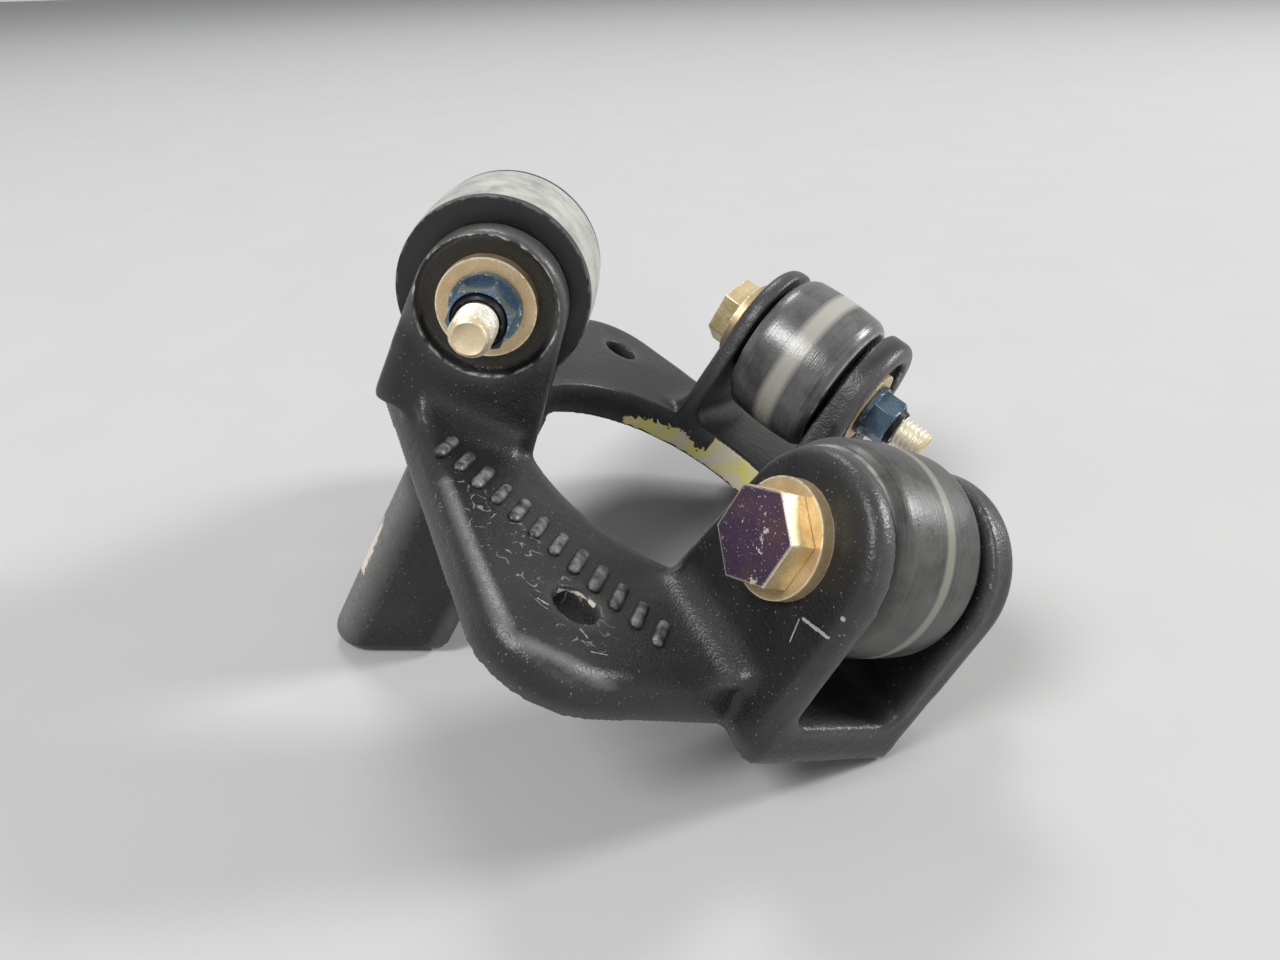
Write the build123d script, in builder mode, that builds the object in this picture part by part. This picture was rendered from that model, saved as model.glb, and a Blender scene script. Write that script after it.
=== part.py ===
from build123d import *
import os
from math import asin, atan2, cos, radians, sin, sqrt, tan

os.makedirs("parts", exist_ok=True)

# Sizes in millimetres.
# The origin is the centre of the ring on its flat mounting face, +Z is the axis of the
# guided tube, and the three roller forks stand on the +Z side.

# Guided tube and rollers
tube_dia = 38.1
tube_gap = 0.3
roller_dia = 23.2
roller_width = 14.5
roller_crown = 0.25
roller_round = 1.8
roller_relief_dia = 15.0
roller_relief_depth = 0.4
floor_gap = 3.2

# Ring and mounting lobes of the casting
web_thick = 5.2
web_round = 2.4
bore_gap = 2.45
ring_wall = 8.6
lobe_radius = 10.6
lobe_hole_x = -9.8
lobe_hole_y = 36.1
lobe_hole_dia = 5.2
nose_radius = 7.5
nose_reach = 8.4

# Forks of the casting
head_ear_thick = 2.8
nut_ear_thick = 4.2
ear_radius = 10.6
ear_shift = 1.3
ear_reach = 12.2
front_ear_radius = 8.8
front_ear_shift = -0.3
front_ear_reach = 7.9
front_foot_rise = 3.2
lobe_tie_inset = 5.3
tie_side_inset = 0.4
foot_flare = 4.0
flare_inset = 0.4
slot_round = 2.4
ear_round = 1.6
front_ear_round = 1.1
spotface_dia = 16.2
spotface_depth = 1.9

# Leg under the first fork
leg_wall = 10.3
leg_half_width = 13.0
leg_drop = 35.0
leg_foot_slope = 29.0
leg_corner_round = 5.0
leg_foot_round = 2.0
leg_bush_z = -17.5

# Bolts, washers and nuts
bolt_dia = 4.8
bolt_clear = 0.07
head_flats = 9.525
head_height = 3.2
tip_stand_out = 4.7
tip_chamfer = 0.6
head_washer_dia = 12.6
nut_washer_dia = 11.5
washer_thick = 1.6
washer_hole_clear = 0.2
nut_flats = 6.6
nut_flange_dia = 8.4
nut_flange_height = 0.9
nut_hex_height = 3.6
nut_collar_height = 0.9
nut_collar_dia = 6.0

# Bearing of each roller
sleeve_dia = 6.35
bush_dia = 9.5
running_clear = 0.05
thrust_dia = 13.0
thrust_thick = 0.5
side_play = 0.15

# Bush of the leg
leg_bush_dia = 7.9
leg_bush_hole = 4.9
leg_bush_proud = 0.2

# Places that follow from the sizes above
axis_radius = tube_dia / 2 + tube_gap + roller_dia / 2
axis_height = web_thick + floor_gap + roller_dia / 2
fork_gap = roller_width + 2 * (thrust_thick + side_play)
head_seat = fork_gap / 2 + head_ear_thick
nut_ear_outer = fork_gap / 2 + nut_ear_thick
nut_seat = nut_ear_outer - spotface_depth
nut_height = nut_flange_height + nut_hex_height + nut_collar_height
bolt_tip = nut_seat + washer_thick + nut_height + tip_stand_out
bore_radius = tube_dia / 2 + bore_gap
leg_outer_x = -bore_radius - leg_wall
tie_side = head_seat - tie_side_inset

# Angle about +Z of each fork, with the side that its nut is on: +1 is anticlockwise.
# The first fork stands over the leg and has the smaller ears.
stations = {"a": (180, 1), "b": (300, 1), "c": (60, -1)}
front_fork = stations["a"][0]
lobe_forks = (stations["b"][0], stations["c"][0])


def radial(angle):
    return Vector(cos(radians(angle)), sin(radians(angle)), 0)


def tangent(angle):
    return Vector(-sin(radians(angle)), cos(radians(angle)), 0)


def fork_side(angle):
    # Local x runs outward from the ring's centre and local y is +Z.
    return Plane(origin=(0, 0, 0), x_dir=radial(angle), z_dir=-tangent(angle))


def fork_end(angle):
    # Local x runs across the fork and local y is +Z.
    return Plane(origin=(0, 0, 0), x_dir=tangent(angle), z_dir=radial(angle))


def bolt_plane(angle, nut_side):
    # The origin is the middle of the roller and local z runs from bolt head to nut.
    middle = radial(angle) * axis_radius + Vector(0, 0, axis_height)
    return Plane(origin=middle, x_dir=(0, 0, 1), z_dir=tangent(angle) * nut_side)


def fork_sides(nut_side):
    # How far the fork reaches clockwise and anticlockwise of its middle plane.
    return (head_seat, nut_ear_outer) if nut_side > 0 else (nut_ear_outer, head_seat)


def fork_reach(angle):
    return axis_radius + (front_ear_reach if angle == front_fork else ear_reach)


def rim_round(angle):
    return front_ear_round if angle == front_fork else ear_round


def corner(angle, out, side):
    place = radial(angle) * out + tangent(angle) * side
    return (place.X, place.Y)


def tangent_point(foot, centre, radius, turn):
    # Where a line from the foot touches the circle; turn is +1 to pass it on the left.
    run = centre - foot
    slant = atan2(run.Y, run.X) + turn * asin(radius / run.length)
    return foot + Vector(cos(slant), sin(slant)) * sqrt(run.length**2 - radius**2)


def ear_outline(angle, side, inset):
    # Side view of the ears, drawn on the fork's anticlockwise face: a round top and two flanks.
    front = angle == front_fork
    foot_z = front_foot_rise if front else 0
    radius = (front_ear_radius if front else ear_radius) - inset
    centre = Vector(axis_radius + (front_ear_shift if front else ear_shift), axis_height)
    foot_in = Vector(sqrt(bore_radius**2 - head_seat**2) + inset, web_thick)
    foot_out = Vector(fork_reach(angle) - inset, web_thick)
    top_in = tangent_point(foot_in, centre, radius, 1)
    top_out = tangent_point(foot_out, centre, radius, -1)
    with BuildSketch(fork_side(angle).offset(-side), mode=Mode.PRIVATE) as ears:
        with BuildLine():
            ThreePointArc(top_in, centre + Vector(0, radius), top_out)
            Polyline(top_out, foot_out, (foot_out.X, foot_z), (foot_in.X, foot_z), foot_in, top_in)
        make_face()
    return ears.sketch


# Casting, seen from above: the ring and its two lobes, then the same with the forks' feet
with BuildSketch() as web_outline:
    with Locations((lobe_hole_x, -lobe_hole_y), (lobe_hole_x, lobe_hole_y)):
        Circle(lobe_radius)
    with Locations((nose_radius - axis_radius - nose_reach, 0)):
        Circle(nose_radius)
    with BuildLine():
        Polyline((0, 0), corner(lobe_forks[0], axis_radius + ear_reach - lobe_tie_inset, -tie_side),
                 corner(lobe_forks[1], axis_radius + ear_reach - lobe_tie_inset, tie_side), close=True)
    make_face()
    make_hull()
    Circle(bore_radius + ring_wall)

with BuildSketch() as footprint:
    add(web_outline.sketch)
    for angle, nut_side in stations.values():
        low, high = fork_sides(nut_side)
        with Locations(Location((0, 0, 0), (0, 0, angle))):
            with Locations((fork_reach(angle) / 2, (high - low) / 2)):
                Rectangle(fork_reach(angle), low + high)

# Forks of the casting: a slotted block with flared feet, cut to the outline of its two ears
forks = []
for angle, nut_side in stations.values():
    low, high = fork_sides(nut_side)
    with BuildPart() as flares:
        with BuildSketch(fork_end(angle)):
            with Locations(((high - low) / 2, web_thick + foot_flare / 2)):
                Rectangle(low + high + 2 * foot_flare, foot_flare)
            with Locations((-low - foot_flare, web_thick + foot_flare),
                           (high + foot_flare, web_thick + foot_flare)):
                Circle(foot_flare, mode=Mode.SUBTRACT)
        extrude(amount=fork_reach(angle))
        trim = ear_outline(angle, high + foot_flare, rim_round(angle) + flare_inset)
        extrude(trim, amount=low + high + 2 * foot_flare, mode=Mode.INTERSECT)
        add(footprint.sketch)
        extrude(amount=2 * axis_height, mode=Mode.INTERSECT)
    with BuildPart() as fork:
        extrude(ear_outline(angle, high, 0), amount=low + high)
        rims = fork.faces().filter_by(Axis((0, 0, 0), tangent(angle))).edges()
        fillet(rims.filter_by(lambda edge: edge.center().Z > web_thick / 4), rim_round(angle))
        add(flares.part)
        with BuildSketch(fork_end(angle)) as slot:
            with Locations((0, web_thick + axis_height)):
                Rectangle(fork_gap, 2 * axis_height)
            fillet(slot.vertices().group_by(Axis.Z)[0], slot_round)
        extrude(amount=2 * fork_reach(angle), mode=Mode.SUBTRACT)
        with BuildSketch(bolt_plane(angle, nut_side).offset(-2 * head_seat)):
            Circle(bolt_dia / 2 + bolt_clear)
        extrude(amount=4 * head_seat, mode=Mode.SUBTRACT)
        with BuildSketch(bolt_plane(angle, nut_side).offset(nut_seat)):
            Circle(spotface_dia / 2)
        extrude(amount=2 * foot_flare, mode=Mode.SUBTRACT)
    forks.append(fork.part)

# Leg of the casting: a wide lug under the first fork, its foot sloping up towards the bore
with BuildPart() as leg:
    leg_inner_x = -sqrt(bore_radius**2 - leg_half_width**2)
    foot_rise = (leg_inner_x - leg_outer_x) * tan(radians(leg_foot_slope))
    with BuildSketch(Plane.XZ.offset(-leg_half_width)):
        with BuildLine():
            Polyline((leg_outer_x, web_thick / 2), (leg_outer_x, -leg_drop),
                     (leg_inner_x, foot_rise - leg_drop), (leg_inner_x, web_thick / 2), close=True)
        make_face()
    extrude(amount=2 * leg_half_width)
    fillet(leg.edges().filter_by(Axis.Z).group_by(Axis.X)[0], leg_corner_round)
    fillet(leg.faces().sort_by(Axis.Z)[0].outer_wire().edges(), leg_foot_round)

# Casting: one piece with the ring, two lobes, three forks and the leg
with BuildPart() as casting:
    extrude(web_outline.sketch, amount=web_thick)
    fillet(casting.faces().sort_by(Axis.Z)[-1].outer_wire().edges(), web_round)
    add(forks)
    add(leg.part)
    with BuildSketch(Plane.XY.offset(-leg_drop)):
        Circle(bore_radius)
    extrude(amount=2 * (leg_drop + axis_height), mode=Mode.SUBTRACT)
    with BuildSketch():
        with Locations((lobe_hole_x, -lobe_hole_y), (lobe_hole_x, lobe_hole_y)):
            Circle(lobe_hole_dia / 2)
    extrude(amount=web_thick, mode=Mode.SUBTRACT)
    with BuildSketch(Plane.YZ.offset(leg_outer_x)):
        with Locations((0, leg_bush_z)):
            Circle(leg_bush_dia / 2)
    extrude(amount=leg_wall, mode=Mode.SUBTRACT)
casting.part.label = "collar_casting"
export_step(casting.part, "parts/collar_casting.step")

# Plain bush pressed into the leg, its outer end just proud of the lug
with BuildPart() as leg_bush:
    with BuildSketch(Plane.YZ.offset(leg_outer_x - leg_bush_proud)):
        with Locations((0, leg_bush_z)):
            Circle(leg_bush_dia / 2)
            Circle(leg_bush_hole / 2, mode=Mode.SUBTRACT)
    extrude(amount=leg_wall)
leg_bush.part.label = "leg_bush"
export_step(leg_bush.part, "parts/leg_bush.step")

# Hardware of the three rollers
for name, (angle, nut_side) in stations.items():
    middle = bolt_plane(angle, nut_side)
    bolt_line = Axis(middle.origin, middle.z_dir)
    # Local x of the section runs out from the bolt's axis and local y along it.
    section = Plane(origin=middle.origin, x_dir=middle.x_dir, z_dir=-middle.y_dir)

    # Roller: a slightly crowned drum with rounded shoulders and relieved end faces
    with BuildPart() as roller:
        half = roller_width / 2
        tread = roller_dia / 2
        with BuildSketch(section) as drum:
            with BuildLine():
                Polyline((tread - roller_crown, -half), (bush_dia / 2, -half),
                         (bush_dia / 2, half), (tread - roller_crown, half))
                ThreePointArc((tread - roller_crown, half), (tread, 0), (tread - roller_crown, -half))
            make_face()
            rim = drum.vertices().filter_by_position(Axis(middle.origin, middle.x_dir), 0, 2 * tread)
            fillet(rim.sort_by_distance(middle.origin)[-2:], roller_round)
        revolve(axis=bolt_line)
        for end in (-1, 1):
            with BuildSketch(middle.offset(end * half)):
                Circle(roller_relief_dia / 2)
            extrude(amount=-end * roller_relief_depth, mode=Mode.SUBTRACT)
    roller.part.label = f"roller_{name}"
    export_step(roller.part, f"parts/roller_{name}.step")

    # Bearing bush pressed into the roller, turning on the clamped sleeve
    with BuildPart() as bush:
        with BuildSketch(middle.offset(-roller_width / 2)):
            Circle(bush_dia / 2)
            Circle(sleeve_dia / 2 + running_clear, mode=Mode.SUBTRACT)
        extrude(amount=roller_width)
    bush.part.label = f"bush_{name}"
    export_step(bush.part, f"parts/bush_{name}.step")

    with BuildPart() as sleeve:
        with BuildSketch(middle.offset(-fork_gap / 2)):
            Circle(sleeve_dia / 2)
            Circle(bolt_dia / 2 + bolt_clear, mode=Mode.SUBTRACT)
        extrude(amount=fork_gap)
    sleeve.part.label = f"sleeve_{name}"
    export_step(sleeve.part, f"parts/sleeve_{name}.step")

    # Thrust washers between the roller's ends and the ears
    with BuildPart() as thrust:
        for end in (-1, 1):
            with BuildSketch(middle.offset(end * fork_gap / 2)):
                Circle(thrust_dia / 2)
                Circle(sleeve_dia / 2 + running_clear, mode=Mode.SUBTRACT)
            extrude(amount=-end * thrust_thick)
    thrust.part.label = f"thrust_washers_{name}"
    export_step(thrust.part, f"parts/thrust_washers_{name}.step")

    with BuildPart() as head_washer:
        with BuildSketch(middle.offset(-head_seat)):
            Circle(head_washer_dia / 2)
            Circle(bolt_dia / 2 + washer_hole_clear, mode=Mode.SUBTRACT)
        extrude(amount=-washer_thick)
    head_washer.part.label = f"head_washer_{name}"
    export_step(head_washer.part, f"parts/head_washer_{name}.step")

    with BuildPart() as nut_washer:
        with BuildSketch(middle.offset(nut_seat)):
            Circle(nut_washer_dia / 2)
            Circle(bolt_dia / 2 + washer_hole_clear, mode=Mode.SUBTRACT)
        extrude(amount=washer_thick)
    nut_washer.part.label = f"nut_washer_{name}"
    export_step(nut_washer.part, f"parts/nut_washer_{name}.step")

    # Bolt: hexagon head with its corners turned off, plain shank, chamfered end
    with BuildPart() as bolt:
        head_face = middle.offset(-head_seat - washer_thick)
        with BuildSketch(head_face):
            RegularPolygon(head_flats / 2, 6, major_radius=False)
        extrude(amount=-head_height)
        with BuildSketch(head_face.offset(-head_height)):
            Circle(head_flats / 2)
        extrude(amount=head_height, taper=-60, mode=Mode.INTERSECT)
        with BuildSketch(head_face):
            Circle(bolt_dia / 2)
        extrude(amount=head_seat + washer_thick + bolt_tip)
        chamfer(bolt.faces().sort_by(bolt_line)[-1].edges(), tip_chamfer)
    bolt.part.label = f"bolt_{name}"
    export_step(bolt.part, f"parts/bolt_{name}.step")

    # Self-locking nut: round flange, small hexagon and a tapered locking collar
    with BuildPart() as nut:
        flange_face = middle.offset(nut_seat + washer_thick)
        with BuildSketch(flange_face):
            Circle(nut_flange_dia / 2)
        extrude(amount=nut_flange_height)
        with BuildSketch(flange_face.offset(nut_flange_height)):
            RegularPolygon(nut_flats / 2, 6, major_radius=False)
        extrude(amount=nut_hex_height)
        with BuildSketch(flange_face.offset(nut_flange_height + nut_hex_height)):
            Circle(nut_collar_dia / 2)
        extrude(amount=nut_collar_height, taper=20)
        with BuildSketch(flange_face):
            Circle(bolt_dia / 2)
        extrude(amount=nut_height, mode=Mode.SUBTRACT)
    nut.part.label = f"locknut_{name}"
    export_step(nut.part, f"parts/locknut_{name}.step")
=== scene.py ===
import bpy
import bmesh
import math
from mathutils import Matrix, Vector


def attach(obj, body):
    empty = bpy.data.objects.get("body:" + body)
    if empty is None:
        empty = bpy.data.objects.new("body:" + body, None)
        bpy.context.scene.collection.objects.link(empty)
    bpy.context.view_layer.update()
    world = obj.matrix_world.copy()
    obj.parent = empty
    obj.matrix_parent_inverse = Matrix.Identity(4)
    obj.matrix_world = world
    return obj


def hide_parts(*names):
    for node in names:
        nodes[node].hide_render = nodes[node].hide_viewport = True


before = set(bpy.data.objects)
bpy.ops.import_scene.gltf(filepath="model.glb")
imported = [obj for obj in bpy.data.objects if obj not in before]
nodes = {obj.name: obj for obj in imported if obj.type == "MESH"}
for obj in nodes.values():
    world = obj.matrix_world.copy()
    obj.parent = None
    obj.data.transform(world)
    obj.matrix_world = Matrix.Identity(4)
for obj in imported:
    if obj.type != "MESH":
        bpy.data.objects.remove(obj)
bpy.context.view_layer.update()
stations = ("a", "b", "c")
print("frame loaded:", len(nodes), "nodes")

perMetre = 1000  # millimetres
seamGap = 1e-6  # metres, closer points are joined


# Node helpers

def addNode(tree, kind, **settings):
    node = tree.nodes.new(kind)
    for name, value in settings.items():
        setattr(node, name, value)
    return node


def feed(tree, source, target):
    # a socket is linked and a colour set as opaque, anything else is set as it is
    if isinstance(source, bpy.types.NodeSocket):
        tree.links.new(source, target)
    elif target.type == "RGBA":
        target.default_value = (*source, 1)
    else:
        target.default_value = source


def feedAll(tree, node, values):
    for label, value in values.items():
        feed(tree, value, node.inputs[label])
    return node


def mathNode(tree, operation, first, second=0.0, clamp=False):
    node = addNode(tree, "ShaderNodeMath", operation=operation, use_clamp=clamp)
    return feedAll(tree, node, {0: first, 1: second}).outputs[0]


def plus(tree, first, second):
    return mathNode(tree, "ADD", first, second)


def minus(tree, first, second):
    return mathNode(tree, "SUBTRACT", first, second)


def times(tree, first, second):
    return mathNode(tree, "MULTIPLY", first, second)


def vectorNode(tree, operation, first, second=None):
    node = addNode(tree, "ShaderNodeVectorMath", operation=operation)
    feed(tree, first, node.inputs[0])
    if second is not None:
        feed(tree, second, node.inputs["Scale"] if operation == "SCALE" else node.inputs[1])
    single = operation in ("LENGTH", "DISTANCE", "DOT_PRODUCT")
    return node.outputs["Value" if single else "Vector"]


def partsOf(tree, vector):
    return feedAll(tree, addNode(tree, "ShaderNodeSeparateXYZ"), {0: vector}).outputs


def rampBetween(tree, value, low, high, fromLow=0.0, fromHigh=1.0):
    # a clamped straight line from low at fromLow to high at fromHigh
    node = addNode(tree, "ShaderNodeMapRange", clamp=True)
    values = {"Value": value, "From Min": fromLow, "From Max": fromHigh, "To Min": low, "To Max": high}
    return feedAll(tree, node, values).outputs[0]


def noiseOf(tree, place, scale, detail=3.0, roughness=0.55):
    values = {"Vector": place, "Scale": scale, "Detail": detail, "Roughness": roughness}
    return feedAll(tree, addNode(tree, "ShaderNodeTexNoise"), values).outputs["Fac"]


def patchy(tree, place, scale, detail, fromLow, fromHigh, low=0.0, high=1.0, roughness=0.55):
    # noise stretched so that it rises from low to high between two of its levels
    return rampBetween(tree, noiseOf(tree, place, scale, detail, roughness), low, high, fromLow, fromHigh)


def swing(tree, noise):
    # noise lowered so that it swings around zero
    return minus(tree, noise, 0.5)


def mixColour(tree, amount, first, second):
    node = addNode(tree, "ShaderNodeMix", data_type="RGBA")
    return feedAll(tree, node, {0: amount, 6: first, 7: second}).outputs[2]


def newGroup(name, inputs, outputs):
    # an input without a value of its own is a vector
    group = bpy.data.node_groups.new(name, "ShaderNodeTree")
    for label, value in inputs.items():
        kind = "Vector" if value is None else "Float"
        socket = group.interface.new_socket(label, in_out="INPUT", socket_type="NodeSocket" + kind)
        if value is not None:
            socket.default_value = value
    for label in outputs:
        group.interface.new_socket(label, in_out="OUTPUT", socket_type="NodeSocketFloat")
    return group, addNode(group, "NodeGroupInput").outputs, addNode(group, "NodeGroupOutput").inputs


def useGroup(tree, group, **values):
    return feedAll(tree, addNode(tree, "ShaderNodeGroup", node_tree=group), values)


# Shared effects

effects = {
    # rays that look into the solid for its edges, rays that round a normal
    "edgeRays": 8, "roundRays": 6,
    # worn patches: their noise and how far it fades out
    "worn": {"detail": 4.0, "roughness": 0.5}, "fade": (-0.6, 1.0),
    # two grains, how many of the coarse one to a fine one, and the levels over which specks show
    "fine": {"detail": 2.0, "roughness": 0.5}, "broad": {"detail": 1.0, "roughness": 0.5},
    "coarseShare": 0.23, "specks": (0.62, 0.76),
    # dust: how far a face may lean, and its clouds
    "lean": (0.1, 1.0),
    "cloud": {"detail": 6.0, "roughness": 0.5, "low": 0.3, "fromLow": 0.35, "fromHigh": 0.7},
}


def makeEdgeWear():
    # 1 on outer edges, found by looking into the solid, broken up by noise
    group, given, result = newGroup(
        "edgeWear", {"place": None, "width": 0.0004, "from": 0.15, "to": 0.4, "reach": 0.5, "patches": 300.0,
                     "ragged": 0.06}, ["mask"])
    rays = effects["edgeRays"]
    inside = addNode(group, "ShaderNodeAmbientOcclusion", samples=rays, inside=True, only_local=True)
    feed(group, given["width"], inside.inputs["Distance"])
    sharp = minus(group, 1.0, inside.outputs["AO"])
    sharp = rampBetween(group, sharp, 0.0, 1.0, given["from"], given["to"])
    noise = noiseOf(group, given["place"], given["patches"], **effects["worn"])
    worn = minus(group, noise, minus(group, 1.0, given["reach"]))
    worn = mathNode(group, "DIVIDE", worn, given["ragged"])
    worn = rampBetween(group, worn, 0.0, 1.0, *effects["fade"])
    feed(group, times(group, sharp, worn), result["mask"])
    return group


def makeGrain():
    # fine bumps of sprayed paint or moulded plastic, as a height and a mask
    group, given, result = newGroup(
        "grain", {"place": None, "size": 2000.0, "depth": 0.3}, ["height", "speckle"])
    fine = noiseOf(group, given["place"], given["size"], **effects["fine"])
    coarse = times(group, given["size"], effects["coarseShare"])
    broad = noiseOf(group, given["place"], coarse, **effects["broad"])
    feed(group, times(group, plus(group, fine, broad), given["depth"]), result["height"])
    feed(group, rampBetween(group, fine, 0.0, 1.0, *effects["specks"]), result["speckle"])
    return group


def makeDust():
    # pale dust that gathers on upward faces
    group, given, result = newGroup("dust", {"place": None, "amount": 0.3, "spread": 150.0}, ["mask"])
    normal = partsOf(group, addNode(group, "ShaderNodeNewGeometry").outputs["Normal"])
    up = rampBetween(group, normal["Z"], 0.0, 1.0, *effects["lean"])
    cloud = patchy(group, given["place"], given["spread"], **effects["cloud"])
    feed(group, times(group, times(group, up, cloud), given["amount"]), result["mask"])
    return group


def makeStroke():
    # a scratch or chip: 1 near the line from start to end, with a ragged border
    group, given, result = newGroup(
        "stroke", {"place": None, "noise": 0.5, "start": None, "end": None, "width": 0.0003, "ragged": 1.0,
                   "core": 0.7}, ["mask"])
    run = vectorNode(group, "SUBTRACT", given["end"], given["start"])
    away = vectorNode(group, "SUBTRACT", given["place"], given["start"])
    share = mathNode(group, "DIVIDE", vectorNode(group, "DOT_PRODUCT", away, run),
                     vectorNode(group, "DOT_PRODUCT", run, run), clamp=True)
    nearest = vectorNode(group, "SCALE", run, share)
    distance = vectorNode(group, "DISTANCE", away, nearest)
    shift = times(group, swing(group, given["noise"]), given["ragged"])
    reach = plus(group, mathNode(group, "DIVIDE", distance, given["width"]), shift)
    feed(group, rampBetween(group, reach, 1.0, 0.0, given["core"], 1.0), result["mask"])
    return group


edgeWear = makeEdgeWear()
grain = makeGrain()
dust = makeDust()
stroke = makeStroke()
print("shared effects made")


# Where the forks' bolts lie and on which side their nuts are, in metres

axisRadius = 0.03095
axisHeight = 0.0200
stationAngle = {"a": math.radians(180), "b": math.radians(300), "c": math.radians(60)}
nutSide = {"a": 1, "b": 1, "c": -1}


def boltFrame(name):
    # local z runs along the bolt from head to nut, local x points up
    angle = stationAngle[name]
    along = Vector((-math.sin(angle), math.cos(angle), 0)) * nutSide[name]
    up = Vector((0, 0, 1))
    middle = Vector((math.cos(angle) * axisRadius, math.sin(angle) * axisRadius, axisHeight))
    return Matrix.Translation(middle) @ Matrix((up, along.cross(up), along)).transposed().to_4x4()


# Materials

def startMaterial(name):
    material = bpy.data.materials.new(name)
    material.use_nodes = True
    tree = material.node_tree
    shader = tree.nodes["Principled BSDF"]
    place = addNode(tree, "ShaderNodeTexCoord").outputs["Object"]
    return material, tree, shader, place


def bumpFrom(tree, shader, height, distance, rounding):
    # the bump sits on a normal that rounds the edges a little
    edge = addNode(tree, "ShaderNodeBevel", samples=effects["roundRays"])
    edge = feedAll(tree, edge, {"Radius": rounding}).outputs[0]
    node = addNode(tree, "ShaderNodeBump")
    feedAll(tree, node, {"Distance": distance, "Normal": edge, "Height": height})
    feed(tree, node.outputs["Normal"], shader.inputs["Normal"])


castingPaint = {
    # worn: grey of rubbed paint, also used as a painted highlight on the edges and the leg's corners
    "black": (0.010, 0.010, 0.011), "rubbed": (0.022, 0.022, 0.022), "worn": (0.21, 0.21, 0.205),
    "metal": (0.60, 0.59, 0.56), "speck": (0.20, 0.20, 0.20), "dust": (0.28, 0.27, 0.25),
    "primer": (0.86, 0.81, 0.24), "palePrimer": (0.82, 0.74, 0.62), "olive": (0.026, 0.020, 0.006),
    # how strongly each kind of wear covers the paint; worn also covers the edges with a painted highlight
    "cover": {"worn": 0.45, "olive": 0.6, "scribed": 0.35, "scratches": 0.6, "bare": 0.9},
    # the sprayed surface: its grain, its roughness plain and on specks, and its gloss
    "grain": {"size": 3300.0, "depth": 0.5}, "bump": 0.00014, "rounding": 0.0003,
    "smooth": 0.34, "speckled": 0.50, "gloss": 0.45,
    # how much rougher primer is, how metallic bare edges are, how deep lost paint lies
    "primerRougher": 0.2, "metallic": 0.8, "lostDepth": 0.5,
    # wear on the edges, broad (rubbed paint with a painted highlight) and down to the metal, and the film of
    # dust
    "wornAndHighlitEdges": {"width": 0.0022, "reach": 0.78, "patches": 210.0, "ragged": 0.6, "from": 0.05, "to": 0.45},
    "bareEdges": {"width": 0.0004, "reach": 0.42, "patches": 900.0, "from": 0.30, "to": 0.45},
    "film": {"amount": 0.05, "spread": 120.0},
    # noises: patches per metre, fineness, and the levels between which they fade in
    "ragged": {"scale": 1500.0, "detail": 3.0, "roughness": 0.6},
    "cloud": {"scale": 90.0, "detail": 5.0, "roughness": 0.6, "fromLow": 0.4, "fromHigh": 0.7},
    "specks": {"scale": 3600.0, "detail": 0.0, "high": 0.8, "fromLow": 0.79, "fromHigh": 0.82},
    "rimBreaks": {"scale": 500.0, "detail": 3.0, "high": 0.9, "fromLow": 0.42, "fromHigh": 0.62},
    "primerTone": {"scale": 260.0, "detail": 3.0, "fromLow": 0.45, "fromHigh": 0.6},
    "slow": {"scale": 420.0, "detail": 1.0}, "lineEdge": (0.008, 0.022),
    "lineBreaks": {"scale": 800.0, "detail": 1.0, "fromLow": 0.50, "fromHigh": 0.56},
    # spot faces on the nut sides, in metres: the floor along and around the bolt, then the worn rim
    "floorFrom": 0.0101, "floorTo": 0.0103, "floorRadius": 0.0082,
    "rimFrom": 0.0115, "rimRadius": 0.00822, "rimEdge": (0.00006, 0.00016),
    # strokes in millimetres: start, end, half width, how ragged; first a patch of faint scribed lines
    "scribed": [((-24.4, -26.0, 5.2), (-9.0, -38.6, 5.2), 4.2, 1.5)],
    "scratches": [
        ((10.0, -38.7, 13.2), (9.7, -38.1, 15.6), 0.11, 0.5),
        ((9.8, -38.4, 16.0), (11.6, -41.5, 17.0), 0.22, 1.6),
        ((11.6, -41.5, 19.5), (11.7, -41.7, 19.6), 0.32, 2.4),
        ((-13.9, -37.9, 5.2), (-12.8, -38.2, 5.2), 0.16, 2.6),
        ((-9.0, -39.8, 5.2), (-8.2, -40.6, 5.2), 0.13, 2.6),
        ((-7.6, -42.4, 5.2), (-6.0, -41.9, 5.2), 0.10, 2.8),
        ((-33.2, -13.8, 5.2), (-30.6, -16.2, 5.2), 0.16, 2.4),
        ((-33.6, -12.6, 7.4), (-32.9, -12.4, 8.6), 0.16, 1.6),
    ],
    # grey strokes: on the leg's outer corners rubbed paint with a painted highlight, then a painted highlight
    # along the web's outer upper edge
    "rubbedAndHighlightStrokes": [
        ((-30.9, -11.0, -8.0), (-30.9, -11.0, -29.5), 4.2, 0.7),
        ((-30.9, 11.0, -8.0), (-30.9, 11.0, -29.5), 3.2, 0.7),
        ((-27.0, -24.2, 4.8), (-18.9, -39.2, 4.8), 1.1, 1.0),
        ((-18.9, -39.2, 4.8), (-15.6, -44.6, 4.8), 1.2, 1.0),
        ((-15.6, -44.6, 4.8), (-3.5, -45.4, 4.8), 1.1, 1.2),
    ],
    # the grey strokes' solid core, then their strength and the levels of noise that go with it
    "rubbedAndHighlightCore": 0.1, "rubbedAndHighlightFade": (0.45, 0.90, 0.30, 0.70),
    # bare: the leg's corner, then the rim of the lobe's hole
    "bare": [
        ((-31.8, -8.8, -14.6), (-31.7, -9.5, -20.6), 1.6, 1.6),
        ((-11.9, -34.6, 4.7), (-9.9, -33.55, 4.7), 0.30, 1.4),
        ((-9.9, -33.55, 4.7), (-7.9, -34.3, 4.7), 0.30, 1.4),
    ],
}

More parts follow.
